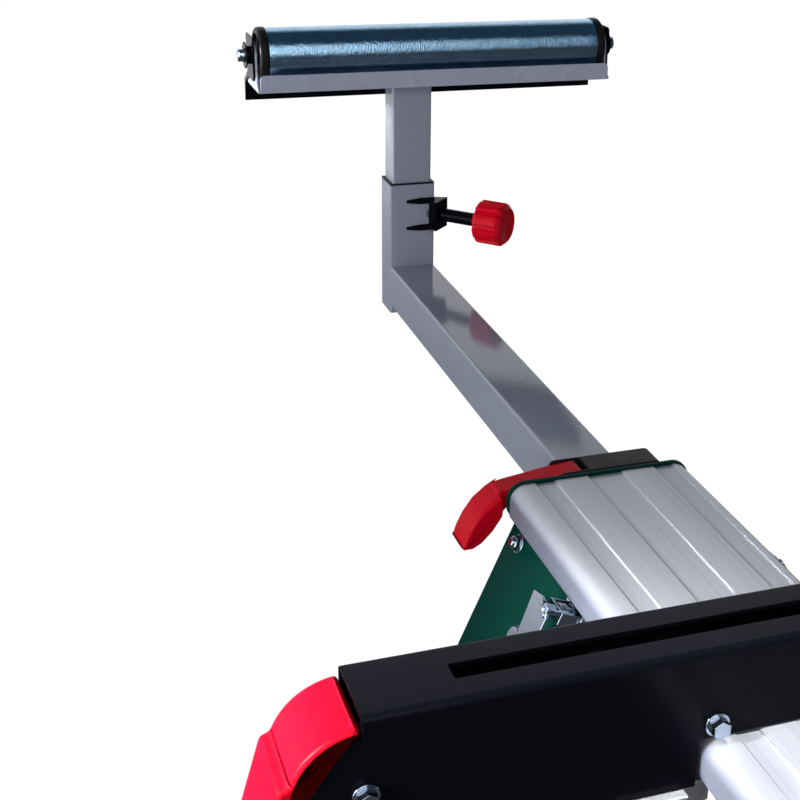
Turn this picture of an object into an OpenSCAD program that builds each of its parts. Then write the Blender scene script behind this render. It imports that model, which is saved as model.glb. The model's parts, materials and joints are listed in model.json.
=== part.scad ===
// Folding stand for a mitre saw. Origin on the floor under the middle of the beam,
// +X along the beam, -Y the operator's side, +Z up. Millimetres.

/* [Node] */
// which node is drawn

/* [Beam] */
// beam length
beam_len = 1250; // [1000:10:1600]
// beam width over the rounded cheeks
beam_w = 141; // [130:1:170]
// beam middle from the arm's middle, towards the operator
beam_off = 3.5; // [0:0.1:6]
// beam top above the floor
beam_top = 800; // [650:5:950]
// depth of the rounded cheeks
cheek_h = 28.5; // [24:0.5:32]
// radius of the top edges
top_r = 12; // [6:0.5:14]
// radius of the bottom edges of the cheeks
cheek_r = 6; // [3:0.5:9]
// wall of the extrusion
skin = 3; // [2:0.1:4]
// depth of the long grooves in the top
groove_d = 1.2; // [0.6:0.1:1.6]
// half width of the middle groove
groove_a = 14; // [10:0.5:18]
// inner edge of the side grooves
groove_b = 39; // [34:0.5:44]
// outer edge of the side grooves
groove_c = 55; // [50:0.5:60]

/* [Extension arms] */
// arm tube width
arm_w = 46; // [36:1:50]
// arm tube height
arm_h = 43; // [36:1:50]
// arm tube wall
arm_t = 2; // [1.5:0.1:3]
// arm tube length
arm_len = 639; // [400:1:660]
// beam end to sleeve face as shown
arm_out = 499; // [300:1:520]
// arm top below the beam top
arm_drop = 6; // [5:0.1:9]
// space between arm and beam channel
arm_gap = 1.8; // [1:0.1:3]

/* [Roller post] */
// sleeve size along the beam
sleeve_x = 35.2; // [30:0.2:44]
// sleeve size across the beam
sleeve_y = 46.6; // [40:0.2:52]
// sleeve wall
sleeve_t = 2; // [1.5:0.1:3]
// sleeve below the arm top
sleeve_dn = 50.6; // [44:0.2:60]
// sleeve above the arm top
sleeve_up = 86.2; // [70:0.2:110]
// post size along the beam
post_x = 30; // [24:0.5:38]
// post size across the beam
post_y = 40; // [34:0.5:46]
// post wall
post_t = 1.8; // [1.4:0.1:2.5]
// post length
post_len = 189; // [150:1:240]
// post top above the arm top as shown
post_top = 187.5; // [150:0.5:220]
// clamp screw axis above the arm top
knob_z = 54.8; // [40:0.5:65]
// clamp screw thread diameter
knob_screw_d = 10; // [8:1:12]
// clamp knob diameter
knob_d = 44; // [36:1:50]
// clamp knob length
knob_len = 31; // [22:1:36]

/* [Roller] */
// roller diameter
roller_d = 50; // [40:1:60]
// roller tube length
roller_len = 336; // [260:1:400]
// roller centre behind the post centre
roller_off = 25.5; // [0:0.5:50]
// axle above the post top
axle_up = 31.3; // [30:0.1:40]
// axle diameter
axle_d = 12; // [10:0.5:14]
// outer diameter of the roller's end caps
cap_d = 51.6; // [44:0.1:58]
// trough width over the flanges
trough_w = 58; // [54:0.5:66]
// trough flange height
trough_h = 16.5; // [12:0.5:20]
// sheet of the trough and its ears
trough_t = 2; // [1.5:0.1:3]

/* [Legs] */
// lean of the legs from upright
splay = 23.25; // [15:0.25:30]
// leg tube width in the leg plane
leg_w = 40; // [30:1:45]
// leg tube thickness across the leg plane
leg_t = 20; // [16:0.5:22]
// leg tube wall
leg_wall = 1.5; // [1.2:0.1:2.5]
// pivot from the beam end
pivot_in = 67; // [62:1:80]
// pivot bolt diameter
pivot_d = 10; // [8:1:12]
// lock pin diameter
pin_d = 8; // [6:0.5:10]
// lock pin offset from the pivot, along and up
pin_off = 51; // [46:0.5:54]
// travel of the lock pin
pin_pull = 6; // [5:0.5:7]
// rubber wall of the feet
foot_t = 2.5; // [2:0.1:2.8]

/* [Saw mounts] */
// mount width along the beam
mount_w = 47.7; // [40:0.1:60]
// mount length across the beam
mount_len = 522; // [400:1:640]
// mount face above the beam top
mount_h = 57; // [48:0.5:70]
// mount position from the beam end
mount_in = 277.7; // [220:1:400]
// mount slot width
slot_w = 12.8; // [8:0.1:14]
// mount slot length
slot_len = 417.8; // [300:1:440]
// corner radius at the slot's ends
slot_r = 1.5; // [0.5:0.1:3]
// mount sheet
mount_t = 2.5; // [2:0.1:3]
// outer radius of the bent edges of the mount
mount_r = 4; // [3:0.5:6]
// side plates below the beam top
mount_dn = 29.6; // [26:0.1:34]
// jaw travel
jaw_go = 12; // [8:1:16]

/* [Hidden] */
$fn = 64;
e = 0.01;
fit = 0.3;
xe = beam_len / 2;
zt = beam_top;
za = zt - arm_drop;
xs = -xe - arm_out;
ch_w = arm_w + 2 * arm_gap;
box_w = ch_w + 2 * skin;
ch_top = skin + groove_d;
ch_bot = arm_drop + arm_h + arm_gap;
box_h = ch_bot + skin;
beam_l = beam_w / 2 + beam_off;
beam_r = beam_w / 2 - beam_off;
boss_ys = [-beam_l + 9, beam_r - 9];
yoke_d = 8.8;
yoke_w = 12.5;
yoke_h = 15.2;
lip = 3;
boss_z = 9.5;
boss2_y = box_w / 2 + 2.2;
boss2_z = box_h - 6;
block_screws = [[40, -12], [boss2_y, -boss2_z], [-boss2_y, -boss2_z]];
plate_t = 3.5;
block_t = 23.5;
xb = -xe - plate_t - block_t;
hub_r = 3.3;
hub_y = -arm_w / 2 + 6;
hub_z = za + fit + hub_r;
lever_w = 18;
grip_w = 27;
lever_x = -xe - plate_t - block_t / 2;
xp = xs - sleeve_x / 2;
za_top = za + post_top;
z_axle = za_top + axle_up;
cap_w = 8.6;
ear_in = roller_len / 2 + cap_w + 1.7;
stop_in = ear_in + trough_t + 0.4;
flange_t = 2.5;
leg_gap = 5;
quad_t = 3;
pitch = leg_t + 2 * foot_t;
house_d = leg_gap + quad_t + leg_t + pitch + 1;
pv_y = -90.3;
pv_z = zt - 83.2;
px = -xe + pivot_in;
cs = cos(splay);
sn = sin(splay);
xm = -xe + mount_in;
hp_y = -mount_len / 2 + 1.6;
pad_y = 67.2;
jaw_y = pad_y + 11.3 + 2 * fit;

// ---- helpers ----

// draws its child mirrored to the right-hand end when s is 1
module side(s) { mirror([s, 0, 0]) children(); }

// rectangle from its corner with rounded corners
module rrect(w, h, r) {
  translate([r, 0]) square([w - 2 * r, h]);
  translate([0, r]) square([w, h - 2 * r]);
  for (x = [r, w - r], y = [r, h - r]) translate([x, y]) circle(r);
}

// 2D outline given in (Y, Z), extruded from x0 to x1
module along_x(x0, x1) {
  translate([x0, 0, 0]) rotate([90, 0, 90]) linear_extrude(x1 - x0) children();
}

// 2D outline given in (X, Z), extruded from y0 to y1
module along_y(y0, y1) {
  translate([0, y1, 0]) rotate([90, 0, 0]) linear_extrude(y1 - y0) children();
}

module rod_x(x0, x1, d) { translate([x0, 0, 0]) rotate([0, 90, 0]) cylinder(d = d, h = x1 - x0); }
module rod_y(y0, y1, d) { translate([0, y0, 0]) rotate([-90, 0, 0]) cylinder(d = d, h = y1 - y0); }

// local frame of the front left leg: u along the beam, v up the slope, w outwards
module leg_plane() {
  multmatrix([[1, 0, 0, px], [0, sn, -cs, pv_y], [0, cs, sn, pv_z], [0, 0, 0, 1]]) children();
}

// front left corner copied to the corner named by its two signs
module corner(rx, ry) { mirror([rx, 0, 0]) translate([0, -2 * ry * beam_off, 0]) mirror([0, ry, 0]) children(); }

// coil spring on the w axis
module coil(r, wire, len, turns) {
  n = 10 * turns;
  m = 5;
  pts = [for (i = [0:n], j = [0:m - 1])
    let (a = 360 * turns * i / n, b = 360 * j / m, q = r + wire / 2 * cos(b))
    [q * cos(a), q * sin(a), wire / 2 + (len - wire) * i / n + wire / 2 * sin(b)]];
  fcs = concat([[for (j = [0:m - 1]) j]], [[for (j = [m - 1:-1:0]) n * m + j]],
    [for (i = [0:n - 1], j = [0:m - 1])
      [i * m + j, (i + 1) * m + j, (i + 1) * m + (j + 1) % m, i * m + (j + 1) % m]]);
  polyhedron(pts, fcs, convexity = 8);
}

// ---- beam ----

module groove(a, b) {
  polygon([[a, 1], [b, 1], [b, 0], [b - groove_d, -groove_d], [a + groove_d, -groove_d], [a, 0]]);
}

// hollows on one side of the arm channel; half is the beam's outer face on that side
module beam_half_cuts(half) {
  y0 = box_w / 2;
  y1 = half - skin;
  z0 = -ch_top;
  z1 = -cheek_h + skin;
  rc = 8;
  difference() {
    union() {
      translate([y0, z1]) square([y1 - y0 - rc, z0 - z1]);
      translate([y0, z1]) square([y1 - y0, z0 - z1 - rc]);
      translate([y1 - rc, z0 - rc]) circle(rc);
      translate([y0, -cheek_h - 1]) square([y1 - lip - y0, z1 + cheek_h + 1 + e]);
    }
    translate([half - 9, -boss_z]) circle(5);
    translate([boss2_y, -boss2_z]) circle(4.6);
  }
}

module beam_profile() {
  difference() {
    union() {
      translate([-beam_off, 0]) {
        translate([-beam_w / 2, -cheek_h]) rrect(beam_w, cheek_h - top_r / 2, cheek_r);
        translate([-beam_w / 2, -2 * top_r - 1]) rrect(beam_w, 2 * top_r + 1, top_r);
      }
      translate([-box_w / 2, -box_h]) square([box_w, box_h - 5]);
      for (s = [-1, 1]) translate([s * boss2_y, -boss2_z]) circle(4.6);
    }
    translate([-ch_w / 2, -ch_bot]) square([ch_w, ch_bot - ch_top]);
    beam_half_cuts(beam_r);
    mirror([1, 0]) beam_half_cuts(beam_l);
    groove(-groove_a, groove_a);
    groove(groove_b, groove_c);
    groove(-groove_c, -groove_b);
    for (y = boss_ys) translate([y, -boss_z]) circle(2.15);
    for (s = [-1, 1]) translate([s * boss2_y, -boss2_z]) circle(2.15);
  }
}

module beam() {
  color([0.62, 0.64, 0.67]) translate([0, 0, zt]) along_x(-xe, xe) beam_profile();
}

// ---- end bracket: end plate with the two leg housings welded on ----

function pl(v, w) = [pv_y + sn * v - cs * w, pv_z - zt + cs * v + sn * w];

module end_plate_2d() {
  o = 1.4;
  a = pl(58, 0);
  b = pl(-50, 0);
  c = pl(-50, -house_d - 2 * flange_t);
  d = pl(22, -house_d - 2 * flange_t);
  m = -2 * beam_off;
  difference() {
    union() {
      translate([-beam_l - o, -2 * top_r - 6]) rrect(beam_w + 2 * o, 2 * top_r + 6 + o, top_r + o);
      polygon([a, b, c, d, [m - d[0], d[1]], [m - c[0], c[1]], [m - b[0], b[1]], [m - a[0], a[1]],
        [m - a[0], -16], [a[0], -16]]);
    }
    translate([-ch_w / 2, -ch_bot]) square([ch_w, ch_bot - ch_top]);
    for (y = boss_ys) translate([y, -boss_z]) circle(2.3);
    for (p = block_screws) translate(p) circle(2.15);
  }
}

module leg_housing() {
  u0 = -pivot_in - 1;
  di = -house_d - 2 * flange_t;
  leg_plane() {
    difference() {
      translate([0, 0, -flange_t]) linear_extrude(flange_t) difference() {
        union() {
          translate([u0, -50]) square([2 * pivot_in - 12, 108]);
          translate([u0 + 2 * pivot_in - 30, -50]) rrect(30, 108, 12);
        }
        circle(d = pivot_d + 0.4);
        translate([pin_off, pin_off]) circle(d = pin_d + 0.4);
        translate([-pin_off, pin_off - 3]) circle(d = 8.2);
      }
      for (u = [-13.5, 13.5]) translate([pin_off + u, pin_off, -5]) cylinder(d = 3.4, h = 8);
    }
    translate([0, 0, di]) linear_extrude(flange_t) difference() {
      union() {
        translate([u0, -50]) square([pivot_in + 25, 75]);
        translate([u0 + pivot_in, -50]) rrect(45, 75, 12);
      }
      circle(d = pivot_d + 0.4);
    }
    translate([u0, -50, di]) cube([flange_t, 75, -di]);
  }
}

module end_bracket(s) {
  color([0.02, 0.19, 0.16]) side(s) {
    translate([0, 0, zt]) along_x(-xe - plate_t, -xe) end_plate_2d();
    for (ry = [0, 1]) corner(0, ry) leg_housing();
  }
}

// ---- clamp block and its lever ----

module clamp_block(s) {
  y0 = -34.5;
  y1 = 48;
  z1 = 2;
  z0 = -57;
  color([0.07, 0.07, 0.08]) side(s) difference() {
    translate([0, 0, zt]) along_x(xb, xb + block_t) translate([y0, z0]) rrect(y1 - y0, z1 - z0, 5);
    translate([xb - 1, -arm_w / 2 - fit, za - arm_h - fit])
      cube([block_t + 2, arm_w + 2 * fit, arm_h + 2 * fit]);
    translate([lever_x - lever_w / 2 - fit, y0 - 1, zt - 30]) cube([lever_w + 2 * fit, -10 - y0 + 1, 40]);
    translate([xb - 1, hub_y, hub_z]) rod_x(0, block_t + 2, 4.05);
    for (p = block_screws) translate([xb, p[0], zt + p[1]]) {
      rod_x(-1, block_t + 3, 4.3);
      rod_x(-1, 3, 8.4);
    }
  }
}

module lever_bar_2d() {
  difference() {
    union() {
      circle(hub_r);
      polygon([[0, hub_r], [-17, 1.8], [-55, -3.6], [-62.5, -5.2], [-68, -14], [-66, -24], [-61, -22.5],
        [-56, -17.4], [-45, -13.5], [-19, -15], [-9.5, -14], [-6.4, -11], [-6.4, -3.3],
        [-2, -hub_r + 0.1]]);
    }
    circle(2.06);
  }
}

// outline of the broad grip at the end of the lever
module lever_grip_2d() {
  polygon([[-62, -6.4], [-67.5, -9.4], [-76.8, -17.4], [-84, -27.8], [-88.6, -37.6], [-91.2, -45.4],
    [-89.6, -47.2], [-83, -47.2], [-76, -43.2], [-68.2, -35], [-61.2, -24], [-60.2, -16.4]]);
}

module arm_lever(s) {
  color([0.69, 0.01, 0.13]) side(s) translate([0, hub_y, hub_z]) {
    along_x(lever_x - lever_w / 2, lever_x + lever_w / 2) lever_bar_2d();
    along_x(lever_x - grip_w / 2, lever_x + grip_w / 2) lever_grip_2d();
  }
}

// cap screw along +X with its head at x = 0
module cap_screw(l, d, hd, hh) {
  difference() {
    union() {
      rod_x(0, hh, hd);
      rod_x(0, l, d);
    }
    translate([-1, 0, 0]) rotate([0, 90, 0]) cylinder(d = hd * 0.5, h = hh * 0.6 + 1, $fn = 6);
  }
}

module end_fixings() {
  color([0.72, 0.74, 0.76]) for (s = [0, 1]) side(s) {
    for (y = boss_ys) translate([-xe - plate_t - 2.2, y, zt - boss_z]) cap_screw(24, 4.2, 9, 2.2);
    for (p = block_screws) translate([xb, p[0], zt + p[1]])
      cap_screw(block_t + plate_t + (p[1] < -30 ? 15 : -0.5), 4.2, 8, 3);
    translate([xb + 0.5, hub_y, hub_z]) rod_x(0, block_t - 1, 4);
  }
}

// ---- legs, feet, latches ----

// depth below the outer face of a leg's middle: ends on the left fold outside, on the right inside
function leg_w0(rx) = -flange_t - leg_gap - quad_t - leg_t / 2 - (rx == 1 ? pitch : 0);

// pivot to floor along a leg
function leg_run(rx) = (pv_z + sn * leg_w0(rx)) / cs;

module quadrant_2d() {
  p = pin_off;
  difference() {
    union() {
      circle(22);
      polygon([[0, 14], [p - 7, p + 7], [p + 7, p - 7], [p + 3, 0], [p + 7, -p + 7], [p - 7, -p - 7],
        [0, -14]]);
      for (t = [-1, 1]) translate([p, t * p]) circle(10);
    }
    circle(d = pivot_d + 0.1);
    for (t = [-1, 1]) translate([p, t * p]) circle(d = pin_d + 0.16);
    translate([34, 0]) circle(9);
  }
}

module leg(rx, ry) {
  w0 = leg_w0(rx);
  run = leg_run(rx);
  tip = run - 14;
  color([0.02, 0.19, 0.16]) corner(rx, ry) leg_plane() difference() {
    union() {
      translate([0, 0, -flange_t - leg_gap - quad_t]) linear_extrude(quad_t) quadrant_2d();
      translate([-leg_w / 2, -tip, w0 - leg_t / 2]) difference() {
        rotate([90, 0, 0]) mirror([0, 0, 1]) linear_extrude(tip + 14) rrect(leg_w, leg_t, 3);
        translate([leg_wall, -1, leg_wall]) cube([leg_w - 2 * leg_wall, tip + 13, leg_t - 2 * leg_wall]);
      }
      translate([0, 0, w0]) cylinder(d = 26, h = -w0 - flange_t - leg_gap - e);
      translate([0, 0, w0 - leg_t / 2]) cylinder(d = 26, h = leg_t);
    }
    translate([0, 0, w0 - leg_t]) cylinder(d = pivot_d + 0.1, h = 2 * leg_t + pitch);
  }
}

module foot(rx, ry) {
  w0 = leg_w0(rx);
  run = leg_run(rx);
  tip = run - 14;
  a = leg_w / 2 + foot_t;
  b = leg_t / 2 + foot_t - 0.2;
  color([0.05, 0.05, 0.05]) intersection() {
    corner(rx, ry) leg_plane() difference() {
      union() {
        translate([-a, -run - 20, w0 - b]) rotate([90, 0, 0]) mirror([0, 0, 1])
          linear_extrude(80) rrect(2 * a, 2 * b, 4);
      }
      translate([-leg_w / 2, -tip, w0 - leg_t / 2]) cube([leg_w, 200, leg_t]);
    }
    translate([-2 * xe, -2 * xe, 0]) cube([4 * xe, 4 * xe, 200]);
  }
}

module leg_bolts() {
  di = house_d + 2 * flange_t;
  color([0.74, 0.76, 0.78]) for (rx = [0, 1], ry = [0, 1]) corner(rx, ry) leg_plane() {
    translate([0, 0, -di - 10]) cylinder(d = pivot_d, h = di + 10);
    cylinder(d1 = 20, d2 = 15, h = 5);
    translate([0, 0, -di - 8]) cylinder(d = 17 / cos(30), h = 8, $fn = 6);
    // spacers beside the quadrant and the leg
    translate([0, 0, -flange_t - leg_gap + 0.1]) cylinder(d = 24, h = leg_gap - 0.1);
    s0 = -flange_t - leg_gap - quad_t - leg_t;
    if (rx == 0) translate([0, 0, -di + flange_t]) cylinder(d = 24, h = di - flange_t + s0 - 0.1);
    translate([-pin_off, pin_off - 3, 0]) {
      translate([0, 0, -flange_t - 1.5]) cylinder(d = 8, h = flange_t + 2);
      cylinder(d = 14.4, h = 1.5);
      translate([0, 0, 1.5]) cylinder(d = 10 / cos(30), h = 4, $fn = 6);
      translate([0, 0, 5.5]) cylinder(d1 = 9.4, d2 = 6, h = 2.5);
    }
  }
}

module leg_glides() {
  color([0.06, 0.06, 0.06]) for (rx = [0, 1], ry = [0, 1]) corner(rx, ry) leg_plane()
    translate([-pin_off, pin_off - 3, -flange_t - 4.4]) difference() {
      cylinder(d = 18, h = 4.4);
      translate([0, 0, 2]) cylinder(d = 8.05, h = 4);
    }
}

module latch_straps() {
  color([0.76, 0.78, 0.8]) for (rx = [0, 1], ry = [0, 1]) corner(rx, ry) leg_plane()
    translate([pin_off, pin_off, 0]) {
      difference() {
        rotate([90, 0, 0]) translate([0, 0, -4.5]) linear_extrude(9)
          polygon([[-16, 0], [-16, 1.5], [-10.5, 1.5], [-10.5, 17], [10.5, 17], [10.5, 1.5], [16, 1.5],
            [16, 0], [9, 0], [9, 15.5], [-9, 15.5], [-9, 0]]);
        translate([0, 0, 10]) cylinder(d = pin_d + 0.4, h = 10);
      }
      for (u = [-13.5, 13.5]) translate([u, 0, -3.4]) {
        cylinder(d = 3.3, h = 5);
        translate([0, 0, 4.8]) cylinder(d1 = 6, d2 = 4, h = 1.6);
      }
    }
}

module latch_springs() {
  color([0.7, 0.72, 0.74]) for (rx = [0, 1], ry = [0, 1]) corner(rx, ry) leg_plane()
    translate([pin_off, pin_off, 8.5]) coil(5.6, 0.9, 6.95, 5);
}

module latch(rx, ry) {
  tip = -flange_t - leg_gap + fit;
  color([0.76, 0.78, 0.8]) corner(rx, ry) leg_plane() translate([pin_off, pin_off, 0]) {
    translate([0, 0, tip]) cylinder(d = pin_d, h = 24.4 - tip);
    translate([0, 0, 4.6]) cylinder(d = 13.6, h = 1.6);
    translate([0, 0, 22]) linear_extrude(2) difference() {
      union() {
        polygon([[-21.7, 0.5], [-20, 2.2], [-9, 4.2], [4.4, -1.5], [6, -5], [5, -39], [2, -42],
          [-14, -42], [-16.8, -39]]);
        translate([-19.6, 0]) circle(2.2);
        translate([2, -39]) circle(3);
        translate([-13.8, -39]) circle(3);
      }
      translate([-6, -31]) circle(6);
    }
    // grip bumps pressed up along the shoulder
    for (p = [[-5.5, 1.5], [-2, -1.2], [2.2, -3.4]]) translate([p[0], p[1], 22])
      cylinder(d1 = 4.6, d2 = 3.4, h = 3.4);
  }
}

// ---- extension arm ----

module tube_x(x0, x1, w, h, t) {
  difference() {
    along_x(x0, x1) translate([-w / 2, -h]) rrect(w, h, 2.5);
    translate([x0 - 1, -w / 2 + t, -h + t]) cube([x1 - x0 + 2, w - 2 * t, h - 2 * t]);
  }
}

module arm(s) {
  color([0.47, 0.49, 0.54]) side(s) translate([0, 0, za]) tube_x(xs, xs + arm_len, arm_w, arm_h, arm_t);
}

module sleeve(s) {
  color([0.47, 0.49, 0.54]) side(s) difference() {
    translate([xs - sleeve_x, -sleeve_y / 2, za - sleeve_dn]) linear_extrude(sleeve_up + sleeve_dn)
      difference() {
        rrect(sleeve_x, sleeve_y, 2);
        translate([sleeve_t, sleeve_t]) square([sleeve_x - 2 * sleeve_t, sleeve_y - 2 * sleeve_t]);
      }
    translate([xs, sleeve_y / 2, za + knob_z]) rotate([0, 0, 45]) rod_x(-12, 8, knob_screw_d + 2);
  }
}

module arm_liners(s) {
  pl0 = xs + arm_len;
  iy = arm_w / 2 - arm_t;
  color([0.06, 0.06, 0.06]) side(s) {
    // slide block closing the inner end of the arm
    translate([0, 0, za]) along_x(pl0, pl0 + 18) translate([-ch_w / 2 + fit, -arm_h - arm_gap + fit])
      rrect(ch_w - 2 * fit, arm_h + 2 * arm_gap - 2 * fit, 3);
    translate([pl0 - 22, -iy + 0.05, za - arm_h + arm_t + 0.05])
      cube([22 + e, 2 * iy - 0.1, arm_h - 2 * arm_t - 0.1]);
    // liner in the mouth of the sleeve
    translate([xp, 0, za + sleeve_up - 24]) difference() {
      union() {
        translate([-sleeve_x / 2 + sleeve_t, -sleeve_y / 2 + sleeve_t, 0])
          cube([sleeve_x - 2 * sleeve_t, sleeve_y - 2 * sleeve_t, 24 + e]);
        translate([-sleeve_x / 2, -sleeve_y / 2, 24]) linear_extrude(1.6) rrect(sleeve_x, sleeve_y, 2);
      }
      translate([-post_x / 2 - 0.08, -post_y / 2 - 0.08, -1]) cube([post_x + 0.16, post_y + 0.16, 30]);
    }
  }
}

// U yoke welded over one corner of the sleeve; d is the diagonal away from the corner
module screw_yoke(s) {
  t = 2.5;
  w = yoke_w;
  far = (yoke_d + w) / sqrt(2);
  near = (yoke_d - w) / sqrt(2);
  color([0.05, 0.05, 0.06]) side(s) translate([xs, sleeve_y / 2, za + knob_z]) {
    difference() {
      union() {
        for (z = [-yoke_h, yoke_h - t]) translate([0, 0, z]) linear_extrude(t)
          polygon([[0.05, 0.05], [0.05, -8], [2, -8], [far, near], [near, far], [-8, 2], [-8, 0.05]]);
        rotate([0, 0, 45]) {
          translate([yoke_d - t, -w, -yoke_h]) cube([t, 2 * w, 2 * yoke_h]);
          // threaded block held inside the yoke
          translate([0, 0, -yoke_h + t - e]) linear_extrude(2 * (yoke_h - t + e))
            polygon([[0.4, 0], [-4.2, -4.6], [yoke_d - t + e, -8], [yoke_d - t + e, 8], [-4.2, 4.6]]);
        }
      }
      rotate([0, 0, 45]) rod_x(-6, 30, knob_screw_d);
    }
    for (z = [-14.1, 14.1])
      translate([0, -30, z - 3.2]) rotate([90, 0, 90]) linear_extrude(2)
        polygon([[0, 1.8], [14, 0], [29.9, 0], [29.9, 6.4], [14, 6.4], [0, 4.6]]);
  }
}

module clamp_screw(s) {
  color([0.05, 0.05, 0.06]) side(s) translate([xs, sleeve_y / 2, za + knob_z]) rotate([0, 0, 45]) {
    rod_x(-4.1, 60, knob_screw_d - 0.1);
    rod_x(yoke_d + fit, 52, 13.4);
  }
}

module knob(s) {
  color([0.78, 0.0, 0.09]) side(s) translate([xs, sleeve_y / 2, za + knob_z]) rotate([0, 0, 45])
    translate([52.2, 0, 0]) rotate([0, 90, 0]) difference() {
      union() {
        cylinder(d = knob_d - 3, h = knob_len);
        translate([0, 0, 2]) cylinder(d = knob_d, h = knob_len - 5);
      }
      for (i = [0:7]) rotate(45 * i) translate([knob_d / 2 + 2.6, 0, -1]) cylinder(r = 4, h = knob_len + 2);
      translate([0, 0, -1]) cylinder(d = knob_screw_d - 0.1, h = 9);
      translate([0, 0, knob_len - 3]) cylinder(d = knob_d - 16, h = 4);
    }
}

// ---- roller post and head ----

module post(s) {
  color([0.47, 0.49, 0.54]) side(s) translate([xp - post_x / 2, -post_y / 2, za_top - post_len])
    linear_extrude(post_len) difference() {
      rrect(post_x, post_y, 2);
      translate([post_t, post_t]) square([post_x - 2 * post_t, post_y - 2 * post_t]);
    }
}

module roller_trough(s) {
  w = trough_w / 2;
  t = trough_t;
  ear_r = 17;
  color([0.5, 0.52, 0.58]) side(s) translate([xp, roller_off, za_top]) {
    translate([-w, -ear_in, 0]) cube([2 * w, 2 * ear_in, t]);
    for (x = [-w, w - t]) along_x(x, x + t) translate([-ear_in, 0]) {
      rrect(2 * ear_in, trough_h, 5);
      square([2 * ear_in, trough_h - 5]);
    }
    for (m = [0, 1]) mirror([0, m, 0]) difference() {
      along_y(-ear_in - t, -ear_in + e) union() {
        translate([0, axle_up - 2]) circle(ear_r);
        translate([-ear_r, axle_up - 14]) square([2 * ear_r, 12]);
        polygon([[-w + 1, 0], [w - 1, 0], [w - 1.4, 2], [ear_r + 4, 6], [ear_r, axle_up - 14],
          [-ear_r, axle_up - 14], [-ear_r - 4, 6], [-w + 1.4, 2]]);
      }
      translate([0, 0, axle_up]) rod_y(-ear_in - t - 1, -ear_in + 1, axle_d + 0.05);
    }
  }
}

module axle(s) {
  end = stop_in + 13.4;
  color([0.74, 0.76, 0.78]) side(s) translate([xp, roller_off, z_axle]) {
    rod_y(-end + 1, end - 1, axle_d);
    for (m = [0, 1]) mirror([0, m, 0]) {
      translate([0, -end + 1 + e, 0]) rotate([90, 0, 0]) cylinder(d1 = axle_d, d2 = axle_d - 2, h = 1);
      // snap ring that keeps the stop on
      rod_y(-stop_in - trough_t - 6.6, -stop_in - trough_t - 5.4, axle_d + 1.6);
      rod_y(-ear_in + 0.05, -ear_in + 1.3, axle_d + 5);
    }
  }
}

module roller(s) {
  color([0.55, 0.63, 0.7]) side(s) translate([xp, roller_off, z_axle]) difference() {
    rod_y(-roller_len / 2, roller_len / 2, roller_d);
    rod_y(-roller_len / 2 - 1, roller_len / 2 + 1, roller_d - 4);
  }
}

module roller_caps(s) {
  h = roller_len / 2;
  color([0.06, 0.06, 0.06]) side(s) translate([xp, roller_off, z_axle])
    for (m = [0, 1]) mirror([0, m, 0]) difference() {
      union() {
        translate([0, -h, 0]) rotate([90, 0, 0]) {
          cylinder(d = cap_d, h = cap_w - 3);
          translate([0, 0, cap_w - 3 - e]) cylinder(d1 = cap_d, d2 = cap_d - 3.6, h = 3 + e);
        }
        rod_y(-h - e, -h + 16, roller_d - 4.1);
      }
      rod_y(-h - cap_w - 1, -h + 17, axle_d + 0.12);
      rod_y(-h - cap_w - 1, -h - cap_w + 4, roller_d - 10);
    }
}

// folding end stop on the roller axle, parked behind and below the trough
module end_stop(s) {
  t = 2;
  tall = 22.3;
  xn = -trough_w / 2 - 1;
  zb = -axle_up - 18.5;
  zt1 = zb + tall;
  y0 = stop_in;
  color([0.06, 0.06, 0.07]) side(s) translate([xp, roller_off, z_axle]) {
    translate([xn - t, -y0 - t, zb]) cube([t, 2 * (y0 + t), tall]);
    for (m = [0, 1]) mirror([0, m, 0]) difference() {
      union() {
        along_y(-y0 - t, -y0)
          polygon([[-17, 14.5], [-14.5, 18.6], [15, 18.6], [18, 15], [16, 0], [17, -18], [15, -22],
            [-12, -23], [-27, -31], [xn - e, zb + 1], [xn - t, zb], [xn - t, zt1 - 2],
            [xn - t + 2, zt1], [-14, -17], [-10.5, -8], [-11, 2]]);
        // bush and retaining disc
        rod_y(-y0 - t - 4.8, -y0 - t + e, axle_d + 5);
        rod_y(-y0 - t - 4.8, -y0 - t - 3.4, 24.8);
      }
      rod_y(-y0 - t - 6, -y0 + 1, axle_d + 0.12);
    }
  }
}

// ---- saw mount ----

module mount_side_2d() {
  h = mount_len / 2;
  difference() {
    union() {
      translate([-h, -6]) square([2 * h, mount_h + 6]);
      translate([hp_y, 11]) circle(33);
      translate([hp_y + 8, -mount_dn]) rrect(h - 8 - 40, mount_dn + 10, 6);
      translate([40, -mount_dn]) rrect(h - 40, mount_dn + 10, 6);
    }
    translate([-beam_l - 2.5, -mount_dn - 1]) square([beam_w + 5, mount_dn + 2]);
    translate([-h - 60, 44]) square([60 - e, 40]);
    translate([hp_y, 11]) circle(3.05);
    for (s = [-1, 1]) translate([s * pad_y, 9.6]) circle(3.05);
    translate([h - 55, -mount_dn / 2 + 6]) circle(9);
    translate([h - 90, -mount_dn / 2 + 6]) circle(9);
    for (z = [-14, 12]) translate([jaw_y + 13, z]) circle(3.05);
  }
}

// bent channel across the beam, in (X, Z)
module mount_channel_2d() {
  w = mount_w / 2;
  deep = mount_h + mount_dn + 20;
  difference() {
    translate([-w, mount_h - deep]) rrect(mount_w, deep, mount_r);
    translate([-w + mount_t, mount_h - mount_t - 2 * deep])
      rrect(mount_w - 2 * mount_t, 2 * deep, mount_r - mount_t);
  }
}

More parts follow.
